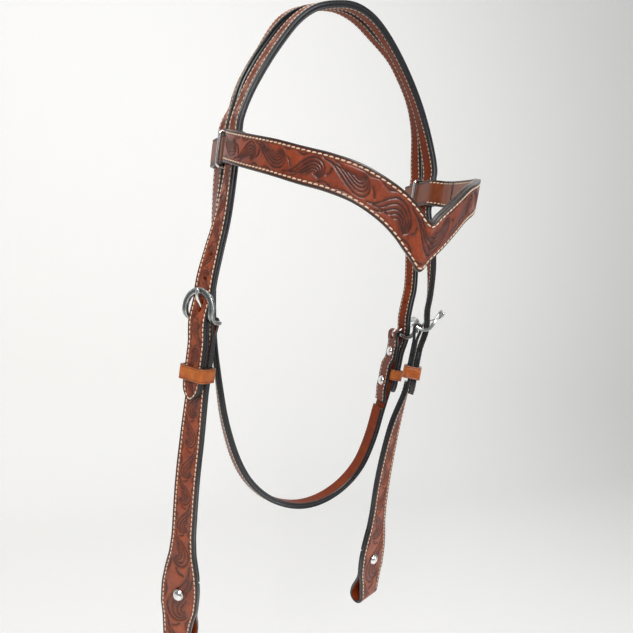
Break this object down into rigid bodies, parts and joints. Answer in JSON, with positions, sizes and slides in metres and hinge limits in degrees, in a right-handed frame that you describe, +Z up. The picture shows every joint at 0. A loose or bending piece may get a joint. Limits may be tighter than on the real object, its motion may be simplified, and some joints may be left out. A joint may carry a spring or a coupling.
{
  "type": "western headstall",
  "caption": "Tooled leather headstall for a horse: split crown, V browband, throatlatch, two buckled cheeks with screwed bit loops.",
  "frame": {"origin": "the point under the top of the crown where the headstall rests on what it hangs from", "axes": "+Z up, -Y towards the front of the browband, +X towards the side with the throat buckle"},
  "size_m": [0.2159, 0.1635, 0.4969],
  "materials": {
    "tooled_leather": "waxed, floral tooled, dark antiqued edges",
    "crown_lining_leather": "smooth, semi-matt",
    "browband_lining_leather": "smooth, burnished",
    "keeper_leather": "smooth, burnished",
    "antique_silver": "antiqued, polished high spots",
    "nickel_wire": "polished"
  },
  "bodies": {
    "headstall": {"crown_outer": "tooled_leather", "crown_lining": "crown_lining_leather", "throatlatch_outer": "tooled_leather", "throatlatch_lining": "crown_lining_leather", "cheek_left_outer": "tooled_leather", "cheek_left_lining": "crown_lining_leather", "cheek_right_outer": "tooled_leather", "cheek_right_lining": "crown_lining_leather", "bit_screw_left_dome": "antique_silver", "bit_screw_left_post": "antique_silver", "bit_screw_right_dome": "antique_silver", "bit_screw_right_post": "antique_silver", "throat_screw_1_dome": "antique_silver", "throat_screw_1_post": "antique_silver", "throat_screw_2_dome": "antique_silver", "throat_screw_2_post": "antique_silver"},
    "browband": {"browband_outer": "tooled_leather", "browband_lining": "browband_lining_leather"},
    "ring_left": {"browband_ring_left": "nickel_wire"},
    "ring_right": {"browband_ring_right": "nickel_wire"},
    "keeper_left": {"keeper_left": "keeper_leather"},
    "keeper_right": {"keeper_right": "keeper_leather"},
    "keeper_throat": {"keeper_throat": "keeper_leather"},
    "buckle_left": {"buckle_left_frame": "antique_silver"},
    "tongue_left": {"buckle_left_tongue": "antique_silver"},
    "buckle_right": {"buckle_right_frame": "antique_silver"},
    "tongue_right": {"buckle_right_tongue": "antique_silver"},
    "buckle_throat": {"buckle_throat_frame": "antique_silver"},
    "tongue_throat": {"buckle_throat_tongue": "antique_silver"}
  },
  "joints": [
    {"name": "browband_slide", "type": "slide", "parent": "headstall", "child": "browband", "axis": [0, 0, 1], "range_m": [-0.003, 0.003]},
    {"name": "ring_left_slide", "type": "slide", "parent": "browband", "child": "ring_left", "axis": [-0.1206, 0.9927, 0], "range_m": [-0.0006, 0.0006]},
    {"name": "ring_right_slide", "type": "slide", "parent": "browband", "child": "ring_right", "axis": [0.1213, 0.9926, 0], "range_m": [-0.0006, 0.0006]},
    {"name": "keeper_left_slide", "type": "slide", "parent": "headstall", "child": "keeper_left", "axis": [0.0166, 0.0158, 0.9997], "range_m": [-0.006, 0.006]},
    {"name": "keeper_right_slide", "type": "slide", "parent": "headstall", "child": "keeper_right", "axis": [0.0801, 0.0531, 0.9954], "range_m": [-0.006, 0.006]},
    {"name": "keeper_throat_slide", "type": "slide", "parent": "headstall", "child": "keeper_throat", "axis": [0.0601, 0, 0.9982], "range_m": [0, 0.001]},
    {"name": "buckle_left_hinge", "type": "hinge", "parent": "headstall", "child": "buckle_left", "pos_m": [-0.08028, -0.01254, -0.24181], "axis": [0.5592, -0.829, 0.0036], "range_deg": [0, 5]},
    {"name": "tongue_left_hinge", "type": "hinge", "parent": "buckle_left", "child": "tongue_left", "pos_m": [-0.08028, -0.01254, -0.24181], "axis": [0.5592, -0.829, 0.0036], "range_deg": [0, 5]},
    {"name": "buckle_right_hinge", "type": "hinge", "parent": "headstall", "child": "buckle_right", "pos_m": [0.09836, -0.01727, -0.23267], "axis": [0.5997, 0.7948, -0.093], "range_deg": [-5, 5]},
    {"name": "tongue_right_hinge", "type": "hinge", "parent": "buckle_right", "child": "tongue_right", "pos_m": [0.09836, -0.01727, -0.23267], "axis": [0.5997, 0.7948, -0.093], "range_deg": [0, 5]},
    {"name": "buckle_throat_hinge", "type": "hinge", "parent": "headstall", "child": "buckle_throat", "pos_m": [0.09731, 0.01141, -0.24263], "axis": [0.1219, 0.9925, -0.0073], "range_deg": [-5, 5]},
    {"name": "tongue_throat_hinge", "type": "hinge", "parent": "buckle_throat", "child": "tongue_throat", "pos_m": [0.09731, 0.01141, -0.24263], "axis": [0.1219, 0.9925, -0.0073], "range_deg": [0, 5]}
  ]
}
